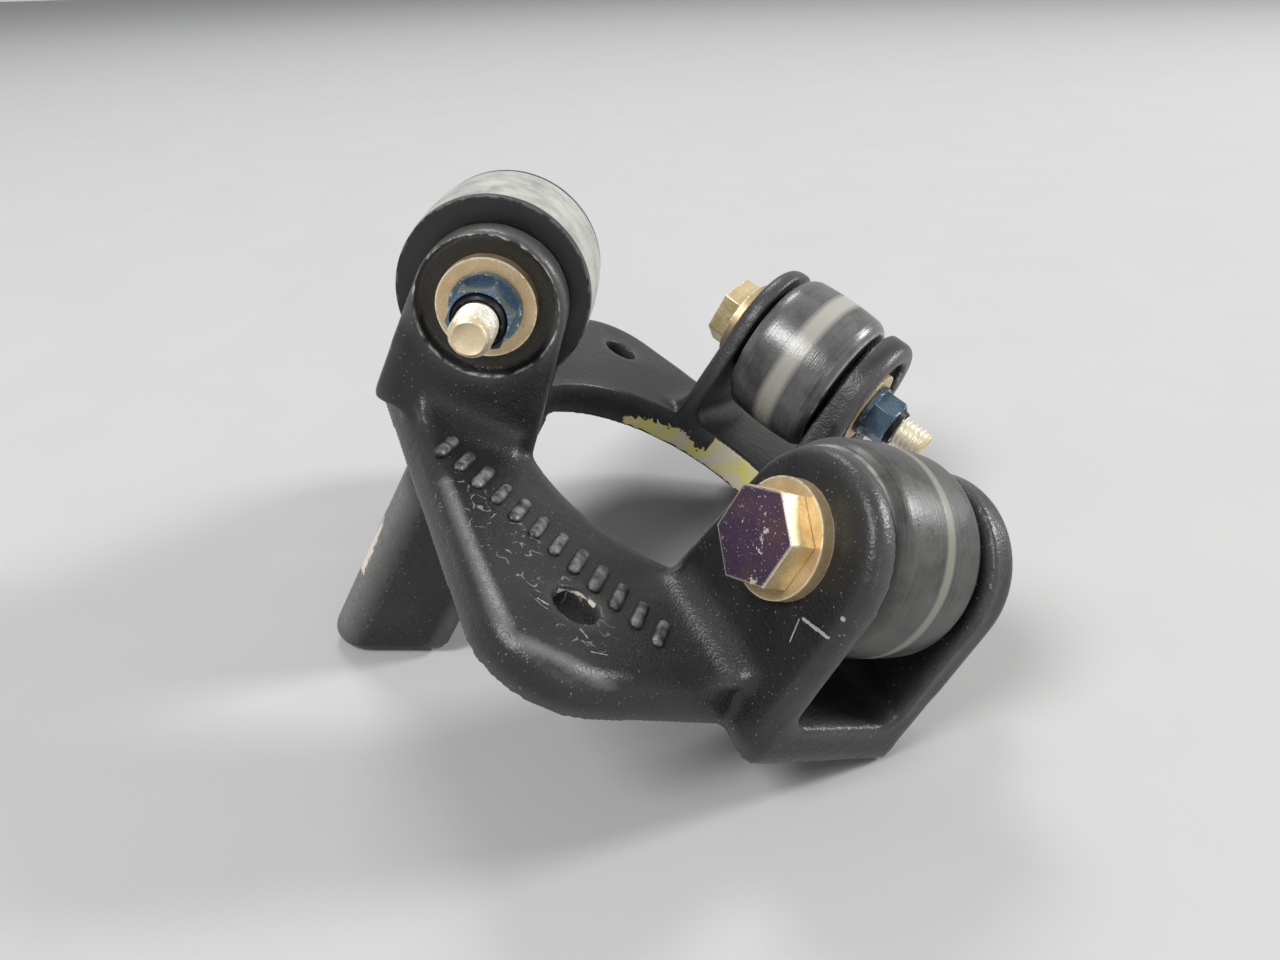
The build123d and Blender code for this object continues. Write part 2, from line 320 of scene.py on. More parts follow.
# chipped paint on the bore's wall: degrees round the ring, millimetres above its underside
primerPatch = {
    "from": 40.0, "to": 107.0, "raggedTop": 3.4, "raggedEnd": 6.0,
    "tallTo": (69.0, 70.0), "tallExtra": 3.4, "stripTurn": (84.0, 106.0), "stripHeight": (3.1, 1.7),
    "notchTurn": 73.0, "notchHalf": 6.0, "notchDepth": 1.3,
    "wallRadius": 0.02156, "lowest": -0.0005,  # metres
}


def alongBolt(tree, place, name):
    # the way from the roller's middle to a point, and how much of it runs along the bolt
    bolt = boltFrame(name)
    away = vectorNode(tree, "SUBTRACT", place, bolt.translation)
    return away, vectorNode(tree, "DOT_PRODUCT", away, bolt.col[2].to_3d())


def aroundBolt(tree, place, name):
    # how far a point lies along the bolt, and how far out from it
    away, along = alongBolt(tree, place, name)
    length = vectorNode(tree, "LENGTH", away)
    squares = minus(tree, mathNode(tree, "POWER", length, 2.0), mathNode(tree, "POWER", along, 2.0))
    return along, mathNode(tree, "SQRT", mathNode(tree, "MAXIMUM", squares, 0.0))


def between(tree, value, low, high):
    return times(tree, mathNode(tree, "GREATER_THAN", value, low), mathNode(tree, "LESS_THAN", value, high))


def strongest(tree, masks):
    total = masks[0]
    for mask in masks[1:]:
        total = mathNode(tree, "MAXIMUM", total, mask)
    return total


def strokeMasks(tree, place, noise, strokes, core=0.7):
    total = 0.0
    for start, end, width, ragged in strokes:
        node = useGroup(tree, stroke, place=place, noise=noise, start=Vector(start) / perMetre,
                        end=Vector(end) / perMetre, width=width / perMetre, ragged=ragged, core=core)
        total = mathNode(tree, "MAXIMUM", total, node.outputs["mask"])
    return total


def scribedMask(tree, place, noise):
    # thin wandering lines, where a slow noise crosses its middle, broken up and kept to one patch
    c = castingPaint
    line = mathNode(tree, "ABSOLUTE", swing(tree, noiseOf(tree, place, **c["slow"])))
    line = rampBetween(tree, line, 1.0, 0.0, *c["lineEdge"])
    broken = patchy(tree, place, **c["lineBreaks"])
    return times(tree, times(tree, line, broken), strokeMasks(tree, place, noise, c["scribed"]))


def primerMask(tree, place, noise):
    # full height next to fork b, then a low ragged strip
    c = primerPatch
    x, y, z = partsOf(tree, place)
    radius = mathNode(tree, "SQRT", plus(tree, times(tree, x, x), times(tree, y, y)))
    turn = times(tree, mathNode(tree, "ARCTAN2", y, x), math.degrees(1))
    ragged = swing(tree, noise)
    strip = rampBetween(tree, turn, *c["stripHeight"], *c["stripTurn"])
    tall = rampBetween(tree, turn, c["tallExtra"], 0.0, *c["tallTo"])
    fromNotch = mathNode(tree, "ABSOLUTE", minus(tree, turn, c["notchTurn"]))
    notch = rampBetween(tree, fromNotch, c["notchDepth"], 0.0, 0.0, c["notchHalf"])
    top = minus(tree, plus(tree, strip, tall), notch)
    top = plus(tree, top, times(tree, ragged, c["raggedTop"]))
    below = mathNode(tree, "LESS_THAN", times(tree, z, perMetre), top)
    end = plus(tree, turn, times(tree, ragged, c["raggedEnd"]))
    begun = mathNode(tree, "GREATER_THAN", turn, c["from"])
    inside = times(tree, begun, mathNode(tree, "LESS_THAN", end, c["to"]))
    wall = times(tree, mathNode(tree, "LESS_THAN", radius, c["wallRadius"]), inside)
    return times(tree, times(tree, wall, below), mathNode(tree, "GREATER_THAN", z, c["lowest"]))


def spotFaces(tree, place):
    # the floors and the worn rims of the spot faces under the nuts
    c = castingPaint
    floors, rims = [], []
    for name in stations:
        along, out = aroundBolt(tree, place, name)
        rim = mathNode(tree, "ABSOLUTE", minus(tree, out, c["rimRadius"]))
        rim = rampBetween(tree, rim, 1.0, 0.0, *c["rimEdge"])
        rims.append(times(tree, rim, mathNode(tree, "GREATER_THAN", along, c["rimFrom"])))
        deep = between(tree, along, c["floorFrom"], c["floorTo"])
        floors.append(times(tree, deep, mathNode(tree, "LESS_THAN", out, c["floorRadius"])))
    return strongest(tree, floors), strongest(tree, rims)


def makeCastingPaint():
    c = castingPaint
    cover = c["cover"]
    material, tree, shader, place = startMaterial("castingPaint")
    noise = noiseOf(tree, place, **c["ragged"])
    # this edge mask paints a highlight along the rounded edges as well as rubbed paint
    wear = useGroup(tree, edgeWear, place=place, **c["wornAndHighlitEdges"])
    bare = useGroup(tree, edgeWear, place=place, **c["bareEdges"])
    film = useGroup(tree, dust, place=place, **c["film"])
    fine = useGroup(tree, grain, place=place, **c["grain"])
    colour = mixColour(tree, patchy(tree, place, **c["cloud"]), c["black"], c["rubbed"])
    colour = mixColour(tree, film.outputs["mask"], colour, c["dust"])
    colour = mixColour(tree, patchy(tree, place, **c["specks"]), colour, c["speck"])
    # rounded edges paler: rubbed paint together with a painted highlight
    colour = mixColour(tree, times(tree, wear.outputs["mask"], cover["worn"]), colour, c["worn"])
    floors, rims = spotFaces(tree, place)
    colour = mixColour(tree, times(tree, floors, cover["olive"]), colour, c["olive"])
    colour = mixColour(tree, times(tree, rims, patchy(tree, place, **c["rimBreaks"])), colour, c["metal"])
    colour = mixColour(tree, bare.outputs["mask"], colour, c["metal"])
    scribed = scribedMask(tree, place, noise)
    colour = mixColour(tree, times(tree, scribed, cover["scribed"]), colour, c["metal"])
    scratched = strokeMasks(tree, place, noise, c["scratches"])
    colour = mixColour(tree, times(tree, scratched, cover["scratches"]), colour, c["metal"])
    # grey strokes: painted highlight along the web's outer upper edge, and rubbed paint with a painted
    # highlight on the leg's corners
    rubbedAndHighlightStrokes = strokeMasks(tree, place, noise, c["rubbedAndHighlightStrokes"], c["rubbedAndHighlightCore"])
    rubbedAndHighlightStrokes = times(tree, rubbedAndHighlightStrokes, rampBetween(tree, noise, *c["rubbedAndHighlightFade"]))
    colour = mixColour(tree, rubbedAndHighlightStrokes, colour, c["worn"])
    rubbed = strokeMasks(tree, place, noise, c["bare"])
    colour = mixColour(tree, times(tree, rubbed, cover["bare"]), colour, c["palePrimer"])
    patch = primerMask(tree, place, noise)
    primer = mixColour(tree, patchy(tree, place, **c["primerTone"]), c["primer"], c["palePrimer"])
    gone = strongest(tree, [bare.outputs["mask"], scratched, patch, rubbed])
    rough = rampBetween(tree, fine.outputs["speckle"], c["smooth"], c["speckled"])
    rough = plus(tree, rough, times(tree, patch, c["primerRougher"]))
    metallic = times(tree, bare.outputs["mask"], c["metallic"])
    feedAll(tree, shader, {"Base Color": mixColour(tree, patch, colour, primer), "Roughness": rough,
                           "Metallic": metallic, "Specular IOR Level": c["gloss"]})
    height = minus(tree, fine.outputs["height"], times(tree, gone, c["lostDepth"]))
    bumpFrom(tree, shader, height, c["bump"], c["rounding"])
    return material


rollerLook = {
    "dark": (0.024, 0.024, 0.025), "rim": (0.36, 0.35, 0.33),
    "band": {"b": (0.27, 0.26, 0.21), "c": (0.50, 0.48, 0.42)}, "endFace": (0.012, 0.012, 0.012),
    "scuffed": {"a": (0.64, 0.64, 0.58), "b": (0.135, 0.135, 0.120), "c": (0.30, 0.30, 0.29)},
    # how much of each tread is scuffed: the noise level from which it shows and the one where it is full
    "scuffFrom": {"a": 0.05, "b": 0.38, "c": 0.20}, "scuffTo": {"a": 0.60, "b": 0.80, "c": 1.30},
    "smoothest": {"a": 0.27, "b": 0.32, "c": 0.24}, "roughest": {"a": 0.50, "b": 0.50, "c": 0.31},
    "gloss": {"a": 0.5, "b": 0.5, "c": 0.9},
    "ringed": {"a": 0.1, "b": 0.3, "c": 0.12},
    # how far the dark end faces reach round the shoulders, in metres
    "faceEdge": {"a": 0.0011, "b": 0.0004, "c": 0.0004},
    # middle and half width of the pale bands on the treads, in millimetres along the bolt
    "bands": {"a": [], "b": [(0.4, 0.65)], "c": [(0.3, 1.45)]},
    "halfWidth": 0.00725,
    # bands: strength, raggedness in metres, and where they start and stop fading as shares of the half width
    "bandCover": 0.8, "bandRagged": 0.0006, "bandFade": (0.6, 1.3),
    # the end faces' sharp border, and the rubbed rim along it, in metres
    "faceFade": (-0.00005, 0.00005), "rimFade": (0.00005, 0.00018),
    "rimCover": (0.2, 1.0), "rimLevels": (0.40, 0.55), "wearCover": 0.4,
    "edges": {"width": 0.0005, "reach": 0.50, "patches": 900.0}, "grain": {"size": 3000.0, "depth": 0.35},
    "cloud": {"scale": 240.0, "detail": 5.0, "roughness": 0.65},
    "scuffCover": 0.8, "roughLevels": (0.35, 0.7),
    # turned rings: how many per metre, fineness, levels and height
    "ringScale": 2600.0, "ringDetail": 4.0, "ringLevels": (0.35, 0.7), "ringHeight": 0.5,
    "bump": 0.00006, "rounding": 0.0002,
}


def makeRollerPlastic(name):
    c = rollerLook
    material, tree, shader, place = startMaterial(f"rollerPlastic_{name}")
    along = alongBolt(tree, place, name)[1]
    wear = useGroup(tree, edgeWear, place=place, **c["edges"])
    fine = useGroup(tree, grain, place=place, **c["grain"])
    cloud = noiseOf(tree, place, **c["cloud"])
    # turned rings run round the tread, so this noise changes along the bolt only
    rings = addNode(tree, "ShaderNodeTexNoise", noise_dimensions="1D")
    feedAll(tree, rings, {"W": along, "Scale": c["ringScale"], "Detail": c["ringDetail"]})
    ringed = rampBetween(tree, rings.outputs["Fac"], 0.0, 1.0, *c["ringLevels"])
    scuff = rampBetween(tree, cloud, 0.0, c["scuffCover"], c["scuffFrom"][name], c["scuffTo"][name])
    colour = mixColour(tree, scuff, c["dark"], c["scuffed"][name])
    colour = mixColour(tree, times(tree, ringed, c["ringed"][name]), colour, c["scuffed"][name])
    ragged = times(tree, swing(tree, cloud), c["bandRagged"])
    for middle, half in c["bands"][name]:
        offset = mathNode(tree, "ABSOLUTE", minus(tree, along, middle / perMetre))
        full, none = (half / perMetre * share for share in c["bandFade"])
        band = rampBetween(tree, plus(tree, offset, ragged), c["bandCover"], 0.0, full, none)
        colour = mixColour(tree, band, colour, c["band"][name])
    past = minus(tree, mathNode(tree, "ABSOLUTE", along), c["halfWidth"] - c["faceEdge"][name])
    colour = mixColour(tree, rampBetween(tree, past, 0.0, 1.0, *c["faceFade"]), colour, c["endFace"])
    border = rampBetween(tree, mathNode(tree, "ABSOLUTE", past), 1.0, 0.0, *c["rimFade"])
    border = times(tree, border, rampBetween(tree, cloud, *c["rimCover"], *c["rimLevels"]))
    colour = mixColour(tree, border, colour, c["rim"])
    colour = mixColour(tree, times(tree, wear.outputs["mask"], c["wearCover"]), colour, c["rim"])
    rough = rampBetween(tree, cloud, c["smoothest"][name], c["roughest"][name], *c["roughLevels"])
    gloss = c["gloss"][name]
    feedAll(tree, shader, {"Base Color": colour, "Roughness": rough, "Specular IOR Level": gloss})
    height = plus(tree, fine.outputs["height"], times(tree, rings.outputs["Fac"], c["ringHeight"]))
    bumpFrom(tree, shader, height, c["bump"], c["rounding"])
    return material


plating = {
    # main colour, drift, chips, roughness, how much of the edges is chipped, whether the faces flake
    "goldPlating": ((0.86, 0.73, 0.44), (0.62, 0.45, 0.20), (0.93, 0.89, 0.78), 0.34, 0.52, False),
    "washerPlating": ((0.72, 0.56, 0.34), (0.55, 0.38, 0.20), (0.88, 0.80, 0.60), 0.42, 0.60, False),
    "violetPlating": ((0.075, 0.050, 0.105), (0.15, 0.080, 0.095), (0.86, 0.80, 0.68), 0.34, 0.66, True),
    "bluePlating": ((0.16, 0.25, 0.33), (0.045, 0.075, 0.115), (0.72, 0.80, 0.86), 0.20, 0.42, False),
    "collarPlating": ((0.012, 0.013, 0.018), (0.02, 0.02, 0.025), (0.10, 0.11, 0.13), 0.40, 0.40, False),
    "paleCadmium": ((0.88, 0.85, 0.74), (0.82, 0.74, 0.56), (0.93, 0.90, 0.82), 0.40, 0.45, False),
    "dullSteel": ((0.42, 0.41, 0.38), (0.28, 0.26, 0.23), (0.66, 0.64, 0.60), 0.38, 0.45, False),
    "bearingBronze": ((0.42, 0.27, 0.12), (0.26, 0.16, 0.08), (0.62, 0.45, 0.25), 0.40, 0.40, False),
}

platingLook = {
    "edges": {"width": 0.00035, "patches": 1300.0, "from": 0.10, "to": 0.32},
    "tone": {"scale": 260.0, "detail": 3.0, "fromLow": 0.42, "fromHigh": 0.72},
    "flecks": {"scale": 6500.0, "detail": 1.0, "high": 0.8, "fromLow": 0.46, "fromHigh": 0.70},
    "specks": {"scale": 3400.0, "detail": 2.0, "fromLow": 0.66, "fromHigh": 0.70},
    "flakes": {"scale": 620.0, "detail": 6.0, "roughness": 0.65, "fromLow": 0.635, "fromHigh": 0.65},
    # spots are smoother and rougher than the rest by this much, between these levels of their noise
    "spots": {"scale": 1400.0, "detail": 4.0, "roughness": 0.7},
    "smoother": 0.06, "rougher": 0.14, "spotLevels": (0.3, 0.7), "spotHeight": 0.5,
    "metallic": 0.7, "bump": 0.00004, "rounding": 0.00003,
}

# the bolts' tips: from where along the bolt and how far out, in metres
goldenEnd = {"colour": (0.72, 0.55, 0.29), "from": 0.02125, "within": 0.006, "cover": 0.75}


def makePlating(name):
    # passivated plating: a tone that drifts, pale chips on the edges and flakes on the faces
    c = platingLook
    main, drift, chip, roughness, chipReach, flakes = plating[name]
    material, tree, shader, place = startMaterial(name)
    wear = useGroup(tree, edgeWear, place=place, reach=chipReach, **c["edges"])
    colour = mixColour(tree, patchy(tree, place, **c["tone"]), main, drift)
    if name == "paleCadmium":
        ends = []
        for station in stations:
            along, out = aroundBolt(tree, place, station)
            ends.append(times(tree, mathNode(tree, "GREATER_THAN", along, goldenEnd["from"]),
                              mathNode(tree, "LESS_THAN", out, goldenEnd["within"])))
        golden = times(tree, strongest(tree, ends), goldenEnd["cover"])
        colour = mixColour(tree, golden, colour, goldenEnd["colour"])
    colour = mixColour(tree, patchy(tree, place, **c["flecks"]), colour, drift)
    gone = wear.outputs["mask"]
    if flakes:
        gone = strongest(tree, [gone, patchy(tree, place, **c["specks"]), patchy(tree, place, **c["flakes"])])
    colour = mixColour(tree, gone, colour, chip)
    spots = noiseOf(tree, place, **c["spots"])
    rough = rampBetween(tree, spots, roughness - c["smoother"], roughness + c["rougher"], *c["spotLevels"])
    feedAll(tree, shader, {"Base Color": colour, "Roughness": rough, "Metallic": c["metallic"]})
    height = minus(tree, times(tree, spots, c["spotHeight"]), gone)
    bumpFrom(tree, shader, height, c["bump"], c["rounding"])
    return material


rubbedLook = {
    # how level a face is where the paint is rubbed, and where the rubbing breaks up
    "level": (0.35, 0.95),
    "breaks": {"scale": 700.0, "detail": 4.0, "low": 0.15, "fromLow": 0.40, "fromHigh": 0.62},
    "smooth": 0.36, "speckled": 0.50, "rounding": 0.0002,
}


def makeRubbedPaint():
    # the same paint on the raised bars, rubbed paler on top
    c = rubbedLook
    material, tree, shader, place = startMaterial("rubbedPaint")
    fine = useGroup(tree, grain, place=place, **castingPaint["grain"])
    normal = partsOf(tree, addNode(tree, "ShaderNodeNewGeometry").outputs["Normal"])
    top = rampBetween(tree, normal["Z"], 0.0, 1.0, *c["level"])
    amount = times(tree, top, patchy(tree, place, **c["breaks"]))
    colour = mixColour(tree, amount, castingPaint["black"], castingPaint["worn"])
    rough = rampBetween(tree, fine.outputs["speckle"], c["smooth"], c["speckled"])
    feedAll(tree, shader, {"Base Color": colour, "Roughness": rough})
    bumpFrom(tree, shader, fine.outputs["height"], castingPaint["bump"], c["rounding"])
    return material


thrustLook = {
    "dark": (0.030, 0.030, 0.030), "pale": (0.075, 0.074, 0.070), "cloud": {"scale": 700.0, "detail": 4.0},
    "smooth": 0.35, "rough": 0.6, "bump": 0.00005, "rounding": 0.0001,
}


def makeThrustPlastic():
    c = thrustLook
    material, tree, shader, place = startMaterial("thrustPlastic")
    cloud = noiseOf(tree, place, **c["cloud"])
    colour = mixColour(tree, cloud, c["dark"], c["pale"])
    rough = rampBetween(tree, cloud, c["smooth"], c["rough"])
    feedAll(tree, shader, {"Base Color": colour, "Roughness": rough})
    bumpFrom(tree, shader, cloud, c["bump"], c["rounding"])
    return material


finishes = {name: makePlating(name) for name in plating}
paint = makeCastingPaint()
rubbedPaint = makeRubbedPaint()
thrustPlastic = makeThrustPlastic()
print("materials made:", len(finishes) + 3)


def dress(node, material):
    slots = nodes[node].data.materials
    slots.clear()
    slots.append(material)


dress("collar_casting", paint)
dress("leg_bush", finishes["dullSteel"])
rollerFinish = {name: makeRollerPlastic(name) for name in stations}
for name in stations:
    dress(f"roller_{name}", rollerFinish[name])
    dress(f"bush_{name}", finishes["bearingBronze"])
    dress(f"sleeve_{name}", finishes["dullSteel"])
    dress(f"thrust_washers_{name}", thrustPlastic)
    dress(f"head_washer_{name}", finishes["washerPlating"])
    dress(f"nut_washer_{name}", finishes["washerPlating"])
print("nodes dressed")


# Meshes made by code or by Geometry Nodes

def newObject(name, data):
    piece = bpy.data.objects.new(name, data)
    bpy.context.scene.collection.objects.link(piece)
    return piece


def settle(piece):
    # keeps the mesh as the modifiers leave it
    graph = bpy.context.evaluated_depsgraph_get()
    piece.data = bpy.data.meshes.new_from_object(piece.evaluated_get(graph))
    piece.modifiers.clear()


def tidyMesh(mesh, sharpAngle=35.0):
    # joins seams and poles, turns faces outwards and keeps crisp edges crisp
    work = bmesh.new()
    work.from_mesh(mesh)
    bmesh.ops.remove_doubles(work, verts=work.verts, dist=seamGap)
    bmesh.ops.recalc_face_normals(work, faces=work.faces)
    work.to_mesh(mesh)
    work.free()
    mesh.shade_smooth()
    mesh.set_sharp_from_angle(angle=math.radians(sharpAngle))


def ringShell(rows, around, closed=False, slots=None):
    # rows are (radius, height), or functions of the angle that give it; closed joins the last to the first
    vertices, faces, materialOf = [], [], []
    for row in rows:
        for step in range(around):
            angle = 2 * math.pi * step / around
            radius, height = row(angle) if callable(row) else row
            vertices.append((radius * math.cos(angle), radius * math.sin(angle), height))
    last = len(rows) if closed else len(rows) - 1
    for i in range(last):
        j = (i + 1) % len(rows)
        for step in range(around):
            after = (step + 1) % around
            faces.append((i * around + step, i * around + after, j * around + after, j * around + step))
            materialOf.append(slots[i] if slots else 0)
    return vertices, faces, materialOf


def meshFrom(name, shells, place, materials):
    # shells stay separate closed skins in one mesh, moved to their place in the mesh itself
    vertices, faces, materialOf = [], [], []
    for shellVertices, shellFaces, shellSlots in shells:
        first = len(vertices)
        vertices += [place @ Vector(v) for v in shellVertices]
        faces += [tuple(first + i for i in face) for face in shellFaces]
        materialOf += shellSlots
    mesh = bpy.data.meshes.new(name)
    mesh.from_pydata(vertices, [], faces)
    for material in materials:
        mesh.materials.append(material)
    mesh.polygons.foreach_set("material_index", materialOf)
    tidyMesh(mesh)
    return mesh


def hexRadius(angle, flats):
    # distance from the axis to the side of a hexagon with a corner at angle 0
    return flats / 2 / math.cos(angle % (math.pi / 3) - math.pi / 6)


def newTree(name, inputs):
    # inputs are labels by kind of socket
    tree = bpy.data.node_groups.new(name, "GeometryNodeTree")
    tree.interface.new_socket("Geometry", in_out="OUTPUT", socket_type="NodeSocketGeometry")
    for kind, labels in inputs.items():
        for label in labels:
            tree.interface.new_socket(label, in_out="INPUT", socket_type="NodeSocket" + kind)
    return tree, addNode(tree, "NodeGroupInput").outputs, addNode(tree, "NodeGroupOutput").inputs[0]


def endTree(tree, geometry, material, result):
    # real geometry in its material goes out
    real = feedAll(tree, addNode(tree, "GeometryNodeRealizeInstances"), {0: geometry}).outputs[0]
    coloured = addNode(tree, "GeometryNodeSetMaterial")
    feedAll(tree, coloured, {"Geometry": real, "Material": material})
    feed(tree, coloured.outputs[0], result)


def moveTo(tree, geometry, x, y, z):
    point = feedAll(tree, addNode(tree, "ShaderNodeCombineXYZ"), {"X": x, "Y": y, "Z": z}).outputs[0]
    moved = addNode(tree, "GeometryNodeSetPosition")
    return feedAll(tree, moved, {"Geometry": geometry, "Position": point}).outputs[0]


def growMesh(tree, name, values):
    # runs the tree with its inputs taken from the values and keeps the result as a plain mesh
    host = newObject(name, bpy.data.meshes.new(name))
    modifier = host.modifiers.new("nodes", "NODES")
    modifier.node_group = tree
    for item in tree.interface.items_tree:
        if item.in_out == "INPUT":
            modifier[item.identifier] = values[item.name]
    settle(host)
    mesh = host.data
    bpy.data.objects.remove(host)
    return mesh


def makeThreadTree():
    # a grid wrapped round the bolt's axis: flat inner end, thread, chamfer and dished outer end
    tree, given, result = newTree("threadedEnd", {
        "Float": ("radius", "length", "pitch", "depth", "crest", "root", "chamfer", "dish"),
        "Int": ("around", "along"), "Material": ("material",)})
    grid = addNode(tree, "GeometryNodeMeshGrid")
    feedAll(tree, grid, {"Vertices X": given["around"], "Vertices Y": given["along"]})
    feedAll(tree, grid, {"Size X": 1.0, "Size Y": 1.0})
    # the grid's middle is at zero, so half its side is added
    spot = partsOf(tree, addNode(tree, "GeometryNodeInputPosition").outputs[0])
    turn = plus(tree, spot["X"], 0.5)
    share = plus(tree, spot["Y"], 0.5)
    radius, length = given["radius"], given["length"]
    total = plus(tree, length, times(tree, radius, 2.0))
    walk = minus(tree, times(tree, share, total), radius)
    height = mathNode(tree, "MINIMUM", mathNode(tree, "MAXIMUM", walk, 0.0), length)
    capIn = mathNode(tree, "DIVIDE", plus(tree, walk, radius), radius, clamp=True)
    left = minus(tree, plus(tree, length, radius), walk)
    capOut = mathNode(tree, "DIVIDE", left, radius, clamp=True)
    cap = mathNode(tree, "MINIMUM", capIn, capOut)
    phase = minus(tree, mathNode(tree, "DIVIDE", height, given["pitch"]), turn)
    phase = mathNode(tree, "FRACT", phase)
    flank = mathNode(tree, "ABSOLUTE", minus(tree, times(tree, phase, 2.0), 1.0))
    groove = rampBetween(tree, flank, 0.0, 1.0, given["crest"], given["root"])
    threaded = minus(tree, radius, times(tree, groove, given["depth"]))
    near = minus(tree, height, minus(tree, length, given["chamfer"]))
    cone = minus(tree, radius, mathNode(tree, "MAXIMUM", near, 0.0))
    reach = times(tree, mathNode(tree, "MINIMUM", threaded, cone), cap)
    hollow = minus(tree, 1.0, mathNode(tree, "POWER", capOut, 2.0))
    level = minus(tree, height, times(tree, hollow, given["dish"]))
    angle = times(tree, turn, 2 * math.pi)
    x = times(tree, reach, mathNode(tree, "COSINE", angle))
    y = times(tree, reach, mathNode(tree, "SINE", angle))
    wrapped = moveTo(tree, grid.outputs["Mesh"], x, y, level)
    joined = addNode(tree, "GeometryNodeMergeByDistance")
    feedAll(tree, joined, {"Geometry": wrapped, "Distance": seamGap})
    endTree(tree, joined.outputs[0], given["material"], result)
    return tree


# The casting's own skin: the same solid with soft cast edges and feet that melt into the web

softCasting = {
    "voxel": 0.00036, "passes": 4, "footPasses": 45, "factor": 0.5, "kept": 0.5, "leastWeight": 0.01,
    # how far out from the ring's middle a fork's foot lies, in metres
    "innermost": 0.015, "outermost": 0.047,
    # where the feet are smoothed more: height, distance along the bolt, in millimetres
    "low": (1.5, 3.5), "high": (9.0, 11.0), "near": (9.6, 11.4), "far": (16.5, 19.0),
    "clearOfBore": (21.8, 23.4),
    # the overhanging corner of the first fork's foot: distance outwards and height
    "wingOut": (35.6, 37.0), "wingTop": (7.5, 10.5),
}


def rise(value, low, high):
    return min(max((value - low) / (high - low), 0.0), 1.0)


def footWeight(point, inverses):
    # 1 where a fork's foot meets the web, 0 elsewhere
    c = softCasting
    best = 0.0
    for name, inverse in inverses.items():
        height, along = point.z * perMetre, abs((inverse @ point).z) * perMetre
        out = point.x * math.cos(stationAngle[name]) + point.y * math.sin(stationAngle[name])
        if out < c["innermost"] or out > c["outermost"]:
            continue
        weight = rise(height, *c["low"]) * (1 - rise(height, *c["high"]))
        weight *= rise(math.hypot(point.x, point.y) * perMetre, *c["clearOfBore"])
        weight *= rise(along, *c["near"]) * (1 - rise(along, *c["far"]))
        if name == "a":
            wing = rise(out * perMetre, *c["wingOut"]) * (1 - rise(height, *c["wingTop"]))
            weight = max(weight, wing if height > 0 else 0)
        best = max(best, weight)
    return best


def makeSoftCasting():
    c = softCasting
    skin = newObject("castingSkin", nodes["collar_casting"].data.copy())
    remesh = skin.modifiers.new("voxels", "REMESH")
    remesh.mode = "VOXEL"
    remesh.voxel_size = c["voxel"]
    settle(skin)
    group = skin.vertex_groups.new(name="feet")
    inverses = {name: boltFrame(name).inverted() for name in stations}
    for vertex in skin.data.vertices:
        weight = footWeight(vertex.co, inverses)
        if weight > c["leastWeight"]:
            group.add([vertex.index], weight, "REPLACE")
    for label, passes, part in (("edges", c["passes"], ""), ("feet", c["footPasses"], "feet")):
        smooth = skin.modifiers.new(label, "SMOOTH")
        smooth.factor = c["factor"]
        smooth.iterations = passes
        smooth.vertex_group = part
    fewer = skin.modifiers.new("fewer", "DECIMATE")
    fewer.ratio = c["kept"]
    settle(skin)
    skin.vertex_groups.clear()
    skin.data.materials.clear()
    skin.data.materials.append(paint)
    skin.data.shade_smooth()
    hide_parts("collar_casting")
    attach(skin, "collar")
    print("casting skin:", len(skin.data.polygons), "faces")


makeSoftCasting()


# Bolts: head, plain shank and threaded end

boltSizes = {
    "flats": 0.009525, "headHeight": 0.0032, "headBase": -0.0123, "radius": 0.0024, "tip": 0.0219,
    "threadLength": 0.0105, "pitch": 0.000794, "depth": 0.00050, "crest": 0.14, "root": 0.90,
    "chamfer": 0.0006, "dish": 0.00045, "around": 73, "along": 201,
    "headSteps": 96, "shankSteps": 48, "shankSunk": 0.0005,
    "edgeRound": 0.00012, "roundSegments": 2, "roundFrom": math.radians(25),
}
threadTree = makeThreadTree()


def makeBolt(name):
    c = boltSizes
    radius, base = c["radius"], c["headBase"]
    top, sunk, start = base - c["headHeight"], base - c["shankSunk"], c["tip"] - c["threadLength"]
    head = ringShell(
        [(0, base), lambda a: (hexRadius(a, c["flats"]), base), lambda a: (hexRadius(a, c["flats"]), top),
         (0, top)], c["headSteps"], slots=[0, 0, 1])
    shank = ringShell(
        [(0, sunk), (radius, sunk), (radius, start), (0, start)], c["shankSteps"], slots=[2, 2, 2])
    place = boltFrame(name)
    materials = [finishes["goldPlating"], finishes["violetPlating"], finishes["paleCadmium"]]
    mesh = meshFrom(f"boltBody_{name}", [head, shank], place, materials)
    body = newObject(f"boltBody_{name}", mesh)
    rounding = body.modifiers.new("edges", "BEVEL")
    rounding.width = c["edgeRound"]
    rounding.segments = c["roundSegments"]
    rounding.limit_method = "ANGLE"
    rounding.angle_limit = c["roundFrom"]
    settle(body)
    values = {**c, "length": c["threadLength"], "material": finishes["paleCadmium"]}
    thread = growMesh(threadTree, f"thread_{name}", values)
    thread.transform(place @ Matrix.Translation((0, 0, start)))
    tidyMesh(thread)
    end = newObject(f"threadedEnd_{name}", thread)
    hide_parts(f"bolt_{name}")
    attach(body, "collar")
    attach(end, "collar")


# Rollers with a fuller crown and rounder shoulders than the plain solids

rollerSizes = {
    "radius": 0.0116, "half": 0.00725, "bore": 0.00475, "reliefRadius": 0.0075, "relief": 0.0004,
    "crown": 0.00055, "round": 0.0026, "around": 160, "roundSteps": 8, "crownSteps": 6,
}


